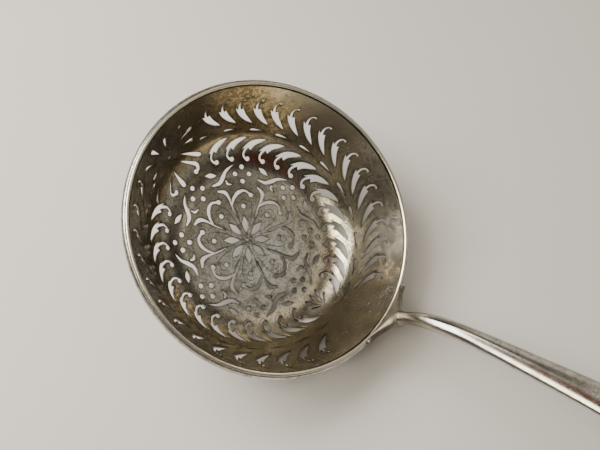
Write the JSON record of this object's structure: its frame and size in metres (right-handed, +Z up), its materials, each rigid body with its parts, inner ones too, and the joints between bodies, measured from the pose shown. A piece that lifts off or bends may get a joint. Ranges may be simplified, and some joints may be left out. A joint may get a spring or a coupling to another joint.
{
  "type": "straining ladle",
  "caption": "Pierced silver straining ladle: dished bowl cut with leaf garlands, dots and a flower, half-round rim wire, and a long rising handle on a flared foot.",
  "frame": {"origin": "the point where the outside of the bowl's lower bend touches the table, with the ladle resting on the bowl and on the tip of its handle", "axes": "+Z up from the table, +X from the bowl towards the tip of the handle, +Y across the handle; the ladle is symmetric about the XZ plane except for its cut pattern"},
  "size_m": [0.1545, 0.058, 0.0343],
  "materials": {
    "bowl_silver": "satin",
    "handle_silver": "gloss",
    "silver_solder": "matte"
  },
  "bodies": {
    "root": {"bowl": "bowl_silver", "rim_wire": "handle_silver", "rim_solder": "silver_solder", "handle_foot": "handle_silver", "foot_solder": "silver_solder", "neck_solder": "silver_solder", "handle_stem": "handle_silver"}
  },
  "joints": []
}
